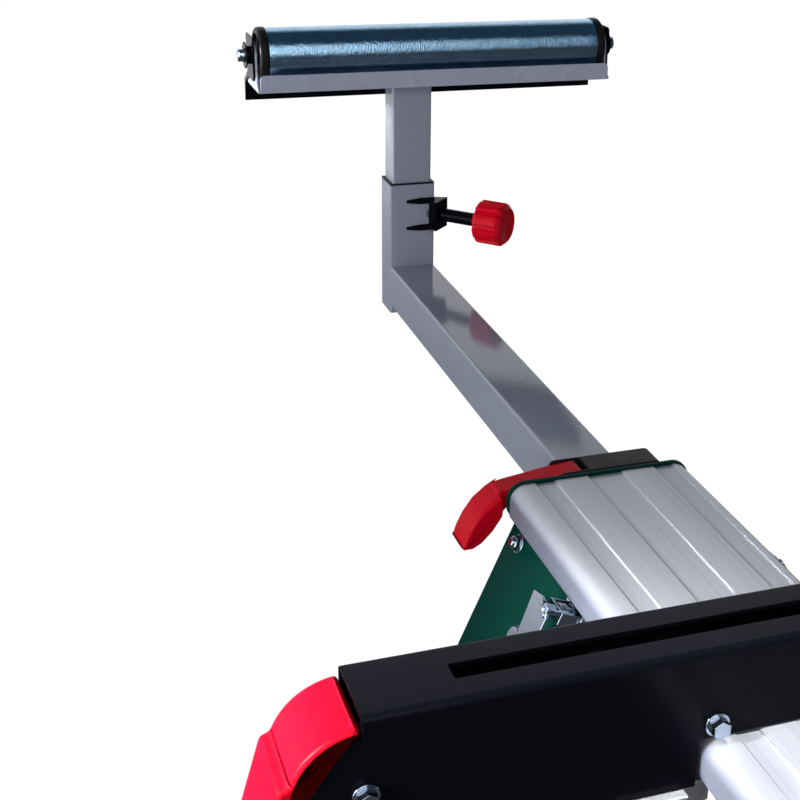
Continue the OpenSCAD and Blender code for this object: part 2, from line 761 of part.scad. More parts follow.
module mount_rail(s) {
  w = mount_w / 2;
  color([0.06, 0.06, 0.07]) side(s) translate([xm, 0, zt]) difference() {
    intersection() {
      along_x(-w, w) mount_side_2d();
      along_y(-mount_len, mount_len) mount_channel_2d();
    }
    translate([-slot_w / 2, -slot_len / 2, mount_h - mount_t - 1]) linear_extrude(mount_t + 2)
      rrect(slot_w, slot_len, slot_r);
  }
}

module mount_pads(s) {
  w = mount_w / 2 - mount_t - 0.05;
  color([0.09, 0.09, 0.1]) side(s) translate([xm, 0, zt]) for (m = [0, 1]) mirror([0, m, 0]) difference() {
    translate([-w, -pad_y - 11.3, 0.3]) cube([2 * w, 34, 22]);
    translate([0, -pad_y, 9.6]) rod_x(-w - 1, w + 1, 6.05);
    for (x = [-12, 12]) translate([x, -60, 12]) cube([12, 60, 12], center = true);
  }
}

module rear_jaw(s) {
  w = mount_w / 2 - mount_t - 0.05;
  y = beam_r + 0.6;
  color([0.78, 0.79, 0.81]) side(s) translate([xm, 0, zt]) difference() {
    union() {
      translate([-w, jaw_y, -44]) cube([2 * w, 26, 62]);
      translate([-w, y - 9, -44]) cube([2 * w, jaw_y + 9 - y + e, 14.9]);
    }
    for (z = [-14, 12]) translate([0, jaw_y + 13, z]) rod_x(-w - 1, w + 1, 6.05);
  }
}

// hex flange bolt along +X, head outside x0
module mount_bolt(l, d, af) {
  rod_x(0, l, d);
  rod_x(-1.4, 0, af + 4.5);
  translate([-7, 0, 0]) rotate([0, 90, 0]) cylinder(d = af / cos(30), h = 6, $fn = 6);
  translate([l - 8, 0, 0]) rotate([0, 90, 0]) cylinder(d = af / cos(30), h = 6, $fn = 6);
}

module mount_bolts(s) {
  w = mount_w / 2;
  color([0.74, 0.76, 0.78]) side(s) translate([xm + w, 0, zt]) mirror([1, 0, 0]) {
    translate([0, hp_y, 11]) mount_bolt(2 * w + 8, 6, 10);
    for (t = [-1, 1]) translate([0, t * pad_y, 9.6]) mount_bolt(2 * w + 8, 6, 10);
    for (z = [-14, 12]) translate([0, jaw_y + 13, z]) mount_bolt(2 * w + 8, 6, 10);
  }
}

module handle_2d() {
  r0 = 35;
  r1 = 40;
  union() {
    difference() {
      circle(r1);
      circle(r0);
      polygon([[-200 * cos(86.6), 200 * sin(86.6)], [0, 0], [-200 * cos(16), -200 * sin(16)],
        [200, -200], [200, 200]]);
    }
    polygon([[-37.5, 13], [-43, 12], [-48, -6], [-54, -27], [-60, -52], [-62, -68], [-60, -74], [-55, -76],
      [-50, -73], [-47, -60], [-43, -38], [-38, -18], [-33.5, -8], [-34.9, 0], [-34.8, 5]]);
  }
}

module mount_handle(s) {
  w = mount_w / 2 + 0.2;
  wi = mount_w / 2 - mount_t - 2;
  color([0.86, 0.02, 0.12]) side(s) translate([xm, hp_y, zt + 11]) difference() {
    union() {
      along_x(-w, w) handle_2d();
      along_x(-wi, wi) union() {
        circle(14);
        difference() {
          circle(37);
          polygon([[0, 0], [-100 * cos(70), 100 * sin(70)], [100, 300], [300, -300], [-40, -100]]);
        }
      }
    }
    rod_x(-w - 1, w + 1, 6.1);
  }
}

module front_jaw(s) {
  w = mount_w / 2 - mount_t - fit;
  y = -beam_l - 0.6;
  color([0.8, 0.81, 0.83]) side(s) translate([xm, 0, zt]) {
    translate([-w, y - 40, -40]) cube([2 * w, 34, 36]);
    translate([-w, y - 9, -44]) cube([2 * w, 18, 14.9]);
    translate([-w - 9, y - 46, -44]) cube([2 * w + 18, 38, 44 - mount_dn - 0.4]);
    translate([0, 0, 11]) difference() {
      union() {
        translate([0, 0, 0]) rod_y(hp_y + 30, y - 34, 8);
        translate([-7, hp_y + 27, -8]) cube([14, 12, 16]);
        translate([-7, y - 40, -16]) cube([14, 12, 24]);
      }
    }
  }
}

beam();
end_bracket(0);  // end_bracket_l
end_bracket(1);  // end_bracket_r
clamp_block(0);  // clamp_block_l
clamp_block(1);  // clamp_block_r
end_fixings();
leg_bolts();
leg_glides();
latch_straps();
latch_springs();
arm(0);  // arm_l
arm(1);  // arm_r
sleeve(0);  // sleeve_l
sleeve(1);  // sleeve_r
screw_yoke(0);  // screw_yoke_l
screw_yoke(1);  // screw_yoke_r
arm_liners(0);  // arm_liners_l
arm_liners(1);  // arm_liners_r
post(0);  // post_l
post(1);  // post_r
roller_trough(0);  // roller_trough_l
roller_trough(1);  // roller_trough_r
axle(0);  // axle_l
axle(1);  // axle_r
roller(0);  // roller_l
roller(1);  // roller_r
roller_caps(0);  // roller_caps_l
roller_caps(1);  // roller_caps_r
end_stop(0);  // end_stop_l
end_stop(1);  // end_stop_r
knob(0);  // knob_l
knob(1);  // knob_r
clamp_screw(0);  // clamp_screw_l
clamp_screw(1);  // clamp_screw_r
arm_lever(0);  // arm_lever_l
arm_lever(1);  // arm_lever_r
leg(0, 0);  // leg_lf
leg(0, 1);  // leg_lr
leg(1, 0);  // leg_rf
leg(1, 1);  // leg_rr
foot(0, 0);  // foot_lf
foot(0, 1);  // foot_lr
foot(1, 0);  // foot_rf
foot(1, 1);  // foot_rr
latch(0, 0);  // latch_lf
latch(0, 1);  // latch_lr
latch(1, 0);  // latch_rf
latch(1, 1);  // latch_rr
mount_rail(0);  // mount_rail_l
mount_rail(1);  // mount_rail_r
mount_pads(0);  // mount_pads_l
mount_pads(1);  // mount_pads_r
rear_jaw(0);  // rear_jaw_l
rear_jaw(1);  // rear_jaw_r
mount_bolts(0);  // mount_bolts_l
mount_bolts(1);  // mount_bolts_r
mount_handle(0);  // mount_handle_l
mount_handle(1);  // mount_handle_r
front_jaw(0);  // front_jaw_l
front_jaw(1);  // front_jaw_r
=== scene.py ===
import json
import math

import bmesh
import bpy
import numpy as np
from mathutils import Matrix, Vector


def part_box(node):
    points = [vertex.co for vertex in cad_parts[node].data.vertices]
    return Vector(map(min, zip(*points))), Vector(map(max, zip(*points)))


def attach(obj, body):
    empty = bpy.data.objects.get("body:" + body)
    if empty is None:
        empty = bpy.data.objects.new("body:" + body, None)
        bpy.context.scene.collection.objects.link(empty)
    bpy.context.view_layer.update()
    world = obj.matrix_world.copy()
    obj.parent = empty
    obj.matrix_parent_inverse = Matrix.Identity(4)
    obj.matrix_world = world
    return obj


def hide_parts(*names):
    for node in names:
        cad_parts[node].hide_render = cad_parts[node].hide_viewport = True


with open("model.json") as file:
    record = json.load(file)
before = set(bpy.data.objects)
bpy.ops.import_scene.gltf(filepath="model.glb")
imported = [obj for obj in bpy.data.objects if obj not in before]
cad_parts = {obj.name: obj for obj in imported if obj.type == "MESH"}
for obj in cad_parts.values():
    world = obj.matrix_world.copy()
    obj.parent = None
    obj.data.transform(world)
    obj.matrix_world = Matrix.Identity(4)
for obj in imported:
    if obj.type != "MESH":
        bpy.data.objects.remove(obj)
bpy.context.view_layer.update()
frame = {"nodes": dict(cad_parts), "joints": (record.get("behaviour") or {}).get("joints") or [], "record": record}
nodes = frame["nodes"]
slotOf = {part["node"]: part["material_slot"] for part in frame["record"]["subparts"]}
bodyOf = {node: body for body, members in frame["record"]["behaviour"]["bodies"].items() for node in members}
axisOf = {joint["name"]: np.array(joint["axis"], float) for joint in frame["joints"]}
ends = (("l", -1), ("r", 1))  # left end, right end, and the sign of X there
mm = 0.001
print("frame loaded", len(nodes), "nodes")

# Camera: looks along -X turned towards +Y by turn, down by dip, then rolled about its own line of sight.
cameraSet = {"place": (0.212, -0.396, 1.274), "turn": 20.86, "dip": 23.56, "roll": -2.05,
             "lens": 63.52, "shiftX": -0.1375, "shiftY": -0.0248}


def makeCamera(given):
    t, d, r = (math.radians(given[k]) for k in ("turn", "dip", "roll"))
    ahead = np.array([-math.cos(t) * math.cos(d), math.sin(t) * math.cos(d), -math.sin(d)])
    right = np.array([math.sin(t), math.cos(t), 0.0])
    down = np.cross(ahead, right)
    across = math.cos(r) * right + math.sin(r) * down
    up = math.sin(r) * right - math.cos(r) * down
    camera = bpy.data.objects.new("camera", bpy.data.cameras.new("camera"))
    bpy.context.scene.collection.objects.link(camera)
    place = np.eye(4)
    place[:3, 0], place[:3, 1], place[:3, 2], place[:3, 3] = across, up, -ahead, given["place"]
    camera.matrix_world = Matrix(place.tolist())
    camera.data.sensor_width = 36
    camera.data.lens = given["lens"]
    camera.data.shift_x, camera.data.shift_y = given["shiftX"], given["shiftY"]
    camera.data.clip_start, camera.data.clip_end = 0.02, 80
    bpy.context.scene.camera = camera


makeCamera(cameraSet)
print("camera placed")


# Materials

def tone(red, green, blue):
    # screen colour of 0 to 255 to the linear colour a shader takes
    screen = np.array([red, green, blue]) / 255
    linear = np.where(screen <= 0.04045, screen / 12.92, ((screen + 0.055) / 1.055) ** 2.4)
    return (*linear.tolist(), 1.0)


class Finish:
    # a Principled material with short ways to add the nodes that the finishes here share

    def __init__(self, name, colour, roughness=0.4, metallic=0.0, **sockets):
        self.material = bpy.data.materials.new(name)
        self.material.use_nodes = True
        self.tree = self.material.node_tree
        self.shader = self.tree.nodes["Principled BSDF"]
        self.shader.inputs["Base Color"].default_value = colour
        self.shader.inputs["Roughness"].default_value = roughness
        self.shader.inputs["Metallic"].default_value = metallic
        for socket, value in sockets.items():
            self.shader.inputs[socket.replace("_", " ")].default_value = value

    def node(self, kind, **values):
        made = self.tree.nodes.new("ShaderNode" + kind)
        for name, value in values.items():
            setattr(made, name, value)
        return made

    def join(self, source, target):
        self.tree.links.new(source, target)

    def objectPlace(self, stretch=(1, 1, 1)):
        # object coordinates in metres, scaled
        spot = self.node("TexCoord")
        mapping = self.node("Mapping")
        mapping.inputs["Scale"].default_value = stretch
        self.join(spot.outputs["Object"], mapping.inputs["Vector"])
        return mapping.outputs["Vector"]

    def alongPlace(self, stretch=(1, 1, 1)):
        # the piece's own UV map, in metres along and around it
        spot = self.node("UVMap", uv_map="along")
        mapping = self.node("Mapping")
        mapping.inputs["Scale"].default_value = stretch
        self.join(spot.outputs["UV"], mapping.inputs["Vector"])
        return mapping.outputs["Vector"]

    def noise(self, place, scale, detail=3.0, rough=0.5):
        made = self.node("TexNoise")
        made.inputs["Scale"].default_value = scale
        made.inputs["Detail"].default_value = detail
        made.inputs["Roughness"].default_value = rough
        self.join(place, made.inputs["Vector"])
        return made.outputs["Fac"]

    def remap(self, source, low, high, to0, to1):
        made = self.node("MapRange")
        for name, value in (("From Min", low), ("From Max", high), ("To Min", to0), ("To Max", to1)):
            made.inputs[name].default_value = value
        self.join(source, made.inputs["Value"])
        return made.outputs["Result"]

    def blendColour(self, factor, colour0, colour1):
        made = self.node("Mix", data_type="RGBA")
        self.join(factor, made.inputs["Factor"])
        for socket, colour in ((made.inputs[6], colour0), (made.inputs[7], colour1)):
            if isinstance(colour, tuple):
                socket.default_value = colour
            else:
                self.join(colour, socket)
        return made.outputs[2]

    def add(self, first, second):
        made = self.node("Math", operation="ADD")
        self.join(first, made.inputs[0])
        self.join(second, made.inputs[1])
        return made.outputs[0]

    def bump(self, height, depth, strength=1.0, under=None):
        made = self.node("Bump")
        made.inputs["Strength"].default_value = strength
        made.inputs["Distance"].default_value = depth
        self.join(height, made.inputs["Height"])
        if under is not None:
            self.join(under, made.inputs["Normal"])
        return made.outputs["Normal"]

    def colour(self, source):
        self.join(source, self.shader.inputs["Base Color"])

    def roughness(self, source):
        self.join(source, self.shader.inputs["Roughness"])

    def normal(self, source):
        self.join(source, self.shader.inputs["Normal"])


def glossPaint(name, body, gloss=0.16, peel=0.00004, cloud=0.03, specks=0.35, shine=0.5):
    # sprayed paint: orange peel, faint clouds in the colour, a few dust specks, slightly worn gloss
    paint = Finish(name, body, gloss, Specular_IOR_Level=shine)
    place = paint.objectPlace()
    dim = tuple(c * (1 - cloud) for c in body[:3]) + (1.0,)
    lit = tuple(min(1, c * (1 + cloud)) for c in body[:3]) + (1.0,)
    clouds = paint.blendColour(paint.noise(place, 14, 4), dim, lit)
    dots = paint.node("TexVoronoi")
    dots.inputs["Scale"].default_value = 55
    paint.join(place, dots.inputs["Vector"])
    speck = paint.remap(dots.outputs["Distance"], 0.028, 0.04, specks, 0.0)
    dark = tuple(c * 0.25 for c in body[:3]) + (1.0,)
    paint.colour(paint.blendColour(speck, clouds, dark))
    paint.roughness(paint.remap(paint.noise(place, 16, 5, 0.6), 0.3, 0.75, gloss * 0.9, gloss * 1.2))
    coarse = paint.bump(paint.noise(place, 210, 2, 0.4), peel * 2.2)
    paint.normal(paint.bump(paint.noise(place, 620, 2, 0.5), peel, under=coarse))
    return paint.material


def mouldedPlastic(name, body, gloss=0.35, grain=0.00003, scale=1500, flow=0.06, shine=0.5):
    # moulded plastic: fine grain from the tool, slow flow marks in the gloss and the colour
    plastic = Finish(name, body, gloss, Specular_IOR_Level=shine)
    place = plastic.objectPlace()
    dim = tuple(c * (1 - flow) for c in body[:3]) + (1.0,)
    lit = tuple(min(1, c * (1 + flow)) for c in body[:3]) + (1.0,)
    plastic.colour(plastic.blendColour(plastic.noise(place, 22, 4), dim, lit))
    plastic.roughness(plastic.remap(plastic.noise(place, 60, 5, 0.65), 0.3, 0.75, gloss * 0.8, gloss * 1.3))
    slow = plastic.bump(plastic.noise(place, 45, 2), grain * 8)
    plastic.normal(plastic.bump(plastic.noise(place, scale, 3, 0.6), grain, under=slow))
    return plastic.material


def drawnAluminium(name):
    # extruded and anodised: fine die lines along the beam, each strip a touch lighter or darker
    metal = Finish(name, tone(164, 167, 175), 0.4, 0.55)
    fine = metal.noise(metal.objectPlace((0.6, 110, 110)), 3, 4, 0.6)
    broad = metal.noise(metal.objectPlace((0.2, 34, 34)), 2, 2)
    both = metal.add(metal.remap(fine, 0.3, 0.7, 0.0, 0.4), metal.remap(broad, 0.3, 0.7, 0.0, 0.6))
    drawn = metal.blendColour(both, tone(146, 149, 159), tone(178, 181, 188))
    # the rounded cheeks below the top get a darker, bluer grey than the top: painted shade on the sides of the
    # beam
    split = metal.node("SeparateXYZ")
    metal.join(metal.objectPlace(), split.inputs[0])
    cheekShade = metal.remap(split.outputs[2], 0.799, 0.79, 0.0, 1.0)
    metal.colour(metal.blendColour(cheekShade, drawn, tone(122, 128, 144)))
    metal.roughness(metal.remap(fine, 0.25, 0.75, 0.34, 0.46))
    metal.normal(metal.bump(fine, 0.00001, 0.8))
    return metal.material


def brightZinc(name, body=(182, 194, 210), gloss=0.14):
    # zinc plate on small steel parts: crystals of two tones, rolled scratches
    metal = Finish(name, tone(*body), gloss, 1.0)
    place = metal.objectPlace()
    patch = metal.noise(place, 700, 4, 0.6)
    metal.colour(metal.blendColour(metal.remap(patch, 0.35, 0.68, 0.0, 1.0),
                                   tone(*[int(c * 0.93) for c in body]), tone(*body)))
    metal.roughness(metal.remap(patch, 0.3, 0.7, gloss * 0.85, gloss * 1.3))
    metal.normal(metal.bump(metal.noise(place, 900, 3, 0.6), 0.00002))
    return metal.material


def rollerZinc(name):
    # galvanised tube: short scratches around the tube that break a highlight into grain, rings from turning
    metal = Finish(name, tone(160, 196, 214), 0.13, 1.0)
    grain = metal.noise(metal.alongPlace((0.75, 0.3, 1)), 1000, 3, 0.6)
    rings = metal.noise(metal.alongPlace((1, 0.004, 1)), 700, 3, 0.6)
    bloom = metal.noise(metal.alongPlace((1, 1, 1)), 60, 5, 0.7)
    metal.colour(metal.blendColour(metal.remap(bloom, 0.3, 0.7, 0.0, 1.0),
                                   tone(140, 182, 212), tone(168, 204, 232)))
    metal.roughness(metal.remap(grain, 0.3, 0.7, 0.08, 0.19))
    under = metal.bump(rings, 0.00001, 0.6)
    metal.normal(metal.bump(grain, 0.0004, 1.0, under=under))
    return metal.material


def feetRubber(name):
    rubber = Finish(name, tone(26, 26, 28), 0.75)
    place = rubber.objectPlace()
    rubber.colour(rubber.blendColour(rubber.noise(place, 90, 5, 0.7), tone(20, 20, 22), tone(40, 39, 39)))
    rubber.normal(rubber.bump(rubber.noise(place, 1400, 3, 0.6), 0.00006))
    return rubber.material


def castMetal(name):
    metal = Finish(name, tone(196, 198, 202), 0.42, 0.9)
    place = metal.objectPlace()
    sand = metal.noise(place, 700, 5, 0.7)
    metal.colour(metal.blendColour(sand, tone(172, 174, 178), tone(208, 210, 214)))
    metal.roughness(metal.remap(sand, 0.3, 0.7, 0.34, 0.55))
    metal.normal(metal.bump(sand, 0.00012))
    return metal.material


finishes = {
    "grey_paint": glossPaint("grey gloss paint", tone(124, 129, 142), 0.1, 0.00002),
    "trough_paint": glossPaint("grey satin paint", tone(140, 145, 160), 0.26, 0.00002, cloud=0.01),
    "green_paint": glossPaint("dark green gloss paint", tone(0, 42, 36), 0.14, 0.00005, 0.08, 0.0, 0.02),
    "black_paint": glossPaint("black gloss paint", tone(8, 9, 14), 0.1, 0.00003, 0.1, 0.0, 0.04),
    "black_nylon": mouldedPlastic("black nylon", tone(22, 22, 25), 0.38, 0.00006, 900, shine=0.08),
    "red_plastic": mouldedPlastic("red plastic", tone(172, 2, 24), 0.36, shine=0.07),
    "anodised": drawnAluminium("anodised aluminium"),
    "zinc": brightZinc("bright zinc"),
    "roller_zinc": rollerZinc("galvanised roller"),
    "rubber": feetRubber("foot rubber"),
    "jaw_metal": castMetal("cast jaw metal"),
}
print("finishes made", len(finishes))


# Pieces

def settle(piece, body, slot, *stoodFor):
    bpy.context.scene.collection.objects.link(piece)
    piece.data.materials.clear()
    piece.data.materials.append(finishes[slot])
    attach(piece, body)
    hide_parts(*stoodFor)


def softCopy(node, width, sharp=35, segments=2, weigh=None):
    # a node's mesh with its doubles merged and flat faces joined, then every sharp edge rounded;
    # weigh gives each sharp edge's share of the width from its middle point
    mesh = nodes[node].data.copy()
    mesh.name = node + "_soft"
    for name in ("custom_normal", "sharp_face", "sharp_edge"):
        if name in mesh.attributes:
            mesh.attributes.remove(mesh.attributes[name])
    shape = bmesh.new()
    shape.from_mesh(mesh)
    bmesh.ops.remove_doubles(shape, verts=shape.verts, dist=2e-6)
    bmesh.ops.dissolve_limit(shape, angle_limit=math.radians(1), verts=shape.verts, edges=shape.edges)
    shape.edges.ensure_lookup_table()
    angle = np.array([edge.calc_face_angle(0.0) if edge.is_manifold else 0.0 for edge in shape.edges])
    middle = np.array([((edge.verts[0].co + edge.verts[1].co) / 2)[:] for edge in shape.edges])
    shape.to_mesh(mesh)
    shape.free()
    hard = angle > math.radians(sharp)
    share = np.ones(len(hard)) if weigh is None else weigh(middle)
    weights = mesh.attributes.new("bevel_weight_edge", "FLOAT", "EDGE")
    weights.data.foreach_set("value", (hard * share).astype(np.float32))
    mesh.polygons.foreach_set("use_smooth", np.ones(len(mesh.polygons), bool))
    mesh.set_sharp_from_angle(angle=math.radians(sharp))
    piece = bpy.data.objects.new(node + "_piece", mesh)
    bevel = piece.modifiers.new("edges", "BEVEL")
    bevel.width = width * mm
    bevel.segments = segments
    bevel.limit_method = "WEIGHT"
    bevel.use_clamp_overlap = False
    bevel.harden_normals = True
    bevel.miter_outer = "MITER_ARC"
    settle(piece, bodyOf[node], slotOf[node], node)


def gridPiece(name, points, wrapRows=False, lengths=None):
    # a grid of points, row by row; each row is a closed ring, and the last row joins the first where asked.
    # lengths give the metres down the rows and along a ring, for the map that the finish follows
    rows, cols = points.shape[:2]
    row, col = np.meshgrid(np.arange(rows if wrapRows else rows - 1), np.arange(cols), indexing="ij")
    nextRow, nextCol = (row + 1) % rows, (col + 1) % cols
    quads = np.stack([row * cols + col, row * cols + nextCol, nextRow * cols + nextCol,
                      nextRow * cols + col], -1).reshape(-1, 4)
    mesh = bpy.data.meshes.new(name)
    mesh.from_pydata(points.reshape(-1, 3).tolist(), [], quads.tolist())
    if lengths is not None:
        down, across = lengths
        corners = np.stack([np.stack([down(row + i), across(col + j)], -1)
                            for i, j in ((0, 0), (0, 1), (1, 1), (1, 0))], 2)
        mesh.uv_layers.new(name="along").data.foreach_set("uv", corners.reshape(-1).astype(np.float32))
    shape = bmesh.new()
    shape.from_mesh(mesh)
    bmesh.ops.remove_doubles(shape, verts=shape.verts, dist=1e-6)
    bmesh.ops.dissolve_degenerate(shape, edges=shape.edges, dist=1e-7)
    if shape.calc_volume(signed=True) < 0:
        bmesh.ops.reverse_faces(shape, faces=shape.faces)
    shape.to_mesh(mesh)
    shape.free()
    mesh.polygons.foreach_set("use_smooth", np.ones(len(mesh.polygons), bool))
    mesh.set_sharp_from_angle(angle=math.radians(40))
    return bpy.data.objects.new(name, mesh)


def joinPieces(name, pieces):
    # several loose meshes as one, their maps kept
    shape = bmesh.new()
    for piece in pieces:
        shape.from_mesh(piece.data)
    mesh = bpy.data.meshes.new(name)
    shape.to_mesh(mesh)
    shape.free()
    mesh.polygons.foreach_set("use_smooth", np.ones(len(mesh.polygons), bool))
    mesh.set_sharp_from_angle(angle=math.radians(40))
    for piece in pieces:
        bpy.data.objects.remove(piece)
    return bpy.data.objects.new(name, mesh)


def arc(centre, radius, start, stop, steps):
    # points on a circle from one angle to another, in degrees
    angle = np.radians(np.linspace(start, stop, steps))
    return np.stack([centre[0] + radius * np.cos(angle), centre[1] + radius * np.sin(angle)], -1)


def cloudOf(node):
    # the points of a node's mesh
    cloud = np.empty(len(nodes[node].data.vertices) * 3)
    nodes[node].data.vertices.foreach_get("co", cloud)
    return cloud.reshape(-1, 3)


def frameOf(axis):
    # two directions square to an axis
    axis = axis / np.linalg.norm(axis)
    side = np.cross(axis, (0, 0, 1.0))
    side = side / np.linalg.norm(side)
    return axis, side, np.cross(axis, side)


def turned(name, profile, place, axis, around=96, closed=True, radius=None):
    # a profile of (radius, height) turned about an axis:
    # point = place + height * axis + radius * (side * cos a + up * sin a);
    # the function given as radius may change the profile's radius with the angle
    axis, side, up = frameOf(np.array(axis, float))
    angle = np.linspace(0, 2 * math.pi, around, endpoint=False)
    ring = profile[:, :1] * np.ones(around)
    if radius is not None:
        ring = radius(profile[:, :1], profile[:, 1:], angle)
    spoke = side[None, :] * np.cos(angle)[:, None] + up[None, :] * np.sin(angle)[:, None]
    points = np.array(place) + profile[:, 1, None, None] * axis + ring[..., None] * spoke[None]
    steps = np.linalg.norm(np.diff(profile, axis=0, append=profile[:1]), axis=1)
    run = np.concatenate([[0], np.cumsum(steps)])
    reach = float(profile[:, 0].max()) * 2 * math.pi / around
    return gridPiece(name, points, closed, (lambda row: run[row], lambda col: col * reach))


# Roller: a thin tube with its lips rolled in, turned about the axle. Millimetres, here and below.
rollerSet = {"lip": 1.3, "wall": 2.0, "inwards": 6, "around": 160, "steps": 60}


def rollerTube(end):
    low, high = (np.array(corner[:]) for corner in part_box("roller_" + end))
    middle, radius, half = (low + high) / 2, (high[2] - low[2]) / 2, (high[1] - low[1]) / 2
    lip, wall, steps = rollerSet["lip"] * mm, rollerSet["wall"] * mm, rollerSet["steps"]
    inner = half - rollerSet["inwards"] * lip
    outer = np.stack([np.full(steps, radius), np.linspace(-half + lip, half - lip, steps)], -1)
    profile = np.concatenate([outer, arc((radius - lip, half - lip), lip, 15, 90, 6),
                              [[radius - wall, half], [radius - wall, inner],
                               [radius - wall, -inner], [radius - wall, -half]],
                              arc((radius - lip, -half + lip), lip, -90, -15, 6)])
    tube = turned("roller_tube_" + end, profile, middle, (0, 1, 0), rollerSet["around"])
    settle(tube, bodyOf["roller_" + end], "roller_zinc", "roller_" + end)


# Roller cap: a rounded rim proud of the tube, a recess with a stepped floor, and a hub round the axle.
capSet = {"rim": 3.6, "recess": 20.0, "floor": 3.9, "step": 15.2, "stepDeep": 1.2, "hub": 9.4,
          "hubRound": 0.6, "hubBack": 0.9, "bore": 6.1, "plug": 15.5, "inTube": 2.1,
          "slack": 0.05, "round": 0.5, "bevel": 0.8, "around": 96}


def rollerCaps(end):
    low, high = (np.array(corner[:]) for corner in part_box("roller_caps_" + end))
    tubeLow, tubeHigh = (np.array(corner[:]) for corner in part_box("roller_" + end))
    middle, radius, width = (low + high) / 2, (high[2] - low[2]) / 2, high[1] - tubeHigh[1]
    size = {name: value * mm for name, value in capSet.items() if name != "around"}
    rim, recess, step, hub = (size[k] for k in ("rim", "recess", "step", "hub"))
    edge, bevel, hubRound, slack = (size[k] for k in ("round", "bevel", "hubRound", "slack"))
    floor = width - size["floor"]
    inside = (tubeHigh[2] - tubeLow[2]) / 2 - size["inTube"]
    deep, hubTop = floor - size["stepDeep"], width - size["hubBack"]
    profile = np.concatenate([
        [[inside, -size["plug"]], [inside, slack], [radius - edge, slack]],
        arc((radius - edge, edge + slack), edge, -80, 0, 4),
        arc((radius - rim, width - rim), rim, 0, 90, 12),
        arc((recess + edge, width - edge), edge, 90, 180, 4),
        [[recess, floor + bevel], [recess - bevel, floor], [step, floor], [step - bevel * 0.75, deep],
         [hub + bevel, deep], [hub, deep + bevel], [hub, hubTop - hubRound]],
        arc((hub - hubRound, hubTop - hubRound), hubRound, 0, 90, 4),
        [[size["bore"], hubTop], [size["bore"], -size["plug"]]]])
    both = [turned("cap", profile, (middle[0], at, middle[2]), (0, way, 0), capSet["around"])
            for at, way in ((tubeHigh[1], 1), (tubeLow[1], -1))]
    caps = joinPieces("roller_cap_pair_" + end, both)
    settle(caps, bodyOf["roller_caps_" + end], "black_nylon", "roller_caps_" + end)


# Clamp knob: eight grooves with crisp sides cut into a round grip, a broad chamfer and a sunk face.
knobSet = {"grooves": 8, "deep": 2.0, "wide": 7.0, "edge": 1.5, "chamfer": 4.4, "face": 15.4, "sunk": 2.0,
           "bore": 4.96, "boreDeep": 7.8, "fade": 3.2, "inFrom": 4.2, "sideFrom": 2.2,
           "around": 320, "rows": 9}


def knobGrip(end, sign):
    low, high = (np.array(corner[:]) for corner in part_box("knob_" + end))
    radius = (high[2] - low[2]) / 2
    axis = np.array([-sign * math.sqrt(0.5), math.sqrt(0.5), 0])
    reach = cloudOf("knob_" + end) @ axis
    middle = (low + high) / 2
    start = middle + (reach.min() - middle @ axis) * axis
    long = reach.max() - reach.min()
    chamfer, face, bore, boreDeep = (knobSet[k] * mm for k in ("chamfer", "face", "bore", "boreDeep"))
    floor, shoulder = long - knobSet["sunk"] * mm, radius - chamfer
    side = np.linspace(knobSet["sideFrom"] * mm, long - chamfer - 1.0 * mm, knobSet["rows"])
    profile = np.concatenate([
        [[0, boreDeep], [bore, boreDeep], [bore, 0.4 * mm], [5.6 * mm, 0]],
        [[radius - 2.6 * mm, 0], [radius - 1.9 * mm, 0.15 * mm], [radius - 0.5 * mm, 1.2 * mm]],
        np.stack([np.full(len(side), radius), side], -1),
        [[radius - 0.3 * mm, long - chamfer], [shoulder + 0.2 * mm, long - 0.45 * mm],
         [shoulder - 0.5 * mm, long - 0.08 * mm], [shoulder - 1.1 * mm, long]],
        [[face + 0.6 * mm, long], [face + 0.15 * mm, long - 0.2 * mm], [face, long - 0.6 * mm],
         [face - 0.5 * mm, floor + 0.3 * mm], [face - 1.0 * mm, floor], [0, floor]]])

    def grip(ring, height, angle):
        # depth of a groove: full over its width, falling to nothing over its edge, only on the outside
        period = 2 * math.pi / knobSet["grooves"]
        off = np.abs((angle / period + 0.5) % 1 - 0.5) * period * radius / mm
        cut = 1 - np.clip((off - knobSet["wide"] / 2 + knobSet["edge"]) / knobSet["edge"], 0, 1)
        cut = cut * cut * (3 - 2 * cut)
        outside = np.clip((ring - (radius - knobSet["inFrom"] * mm)) / (knobSet["fade"] * mm), 0, 1)
        return ring - knobSet["deep"] * mm * cut[None, :] * outside

    knob = turned("knob_grip_" + end, profile, start, axis, knobSet["around"], False, grip)
    settle(knob, bodyOf["knob_" + end], "red_plastic", "knob_" + end)


# Latch springs: a wire carried along a helix, closed at its two ends by a flat turn.
springSet = {"radius": 5.6, "wire": 0.9, "long": 6.95, "turns": 5, "steps": 48, "around": 8}


